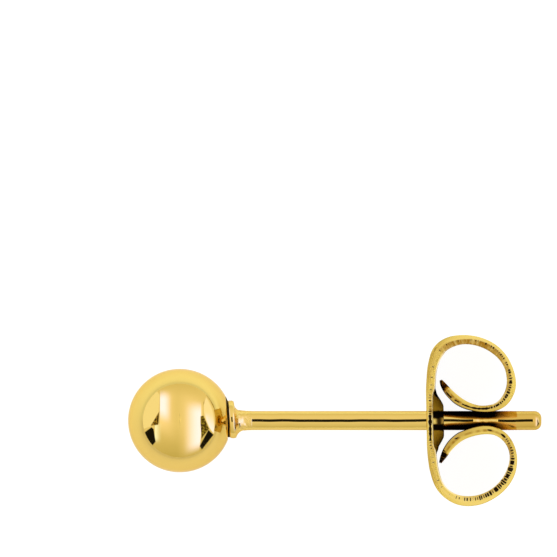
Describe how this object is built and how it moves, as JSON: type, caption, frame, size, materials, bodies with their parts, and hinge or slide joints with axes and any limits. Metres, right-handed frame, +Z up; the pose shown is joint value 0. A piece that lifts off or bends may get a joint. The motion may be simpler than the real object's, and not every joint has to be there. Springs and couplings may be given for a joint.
{
  "type": "ball stud earring with butterfly clutch",
  "caption": "Polished gold-coloured ball stud: a round ball and collar soldered to a straight notched post, held by a sliding butterfly clutch rolled from one dimpled strip.",
  "frame": {"origin": "on the surface the earring lies on, under the middle of its bounding box", "axes": "+X along the post from the ball to the post's free end, +Y toward one of the clutch's scrolls, +Z up"},
  "size_m": [0.016, 0.0066, 0.004],
  "materials": {
    "polished_gold": "mirror-polished gold plate",
    "stamped_gold": "bright gold plate over a stamped strip with sheared edges"
  },
  "bodies": {
    "stud": {"ball_stud": "polished_gold"},
    "clutch": {"butterfly_clutch": "stamped_gold"}
  },
  "joints": [
    {"name": "clutch_slide", "type": "slide", "parent": "stud", "child": "clutch", "axis": [1, 0, 0], "range_m": [-0.0073, 0.005]}
  ]
}
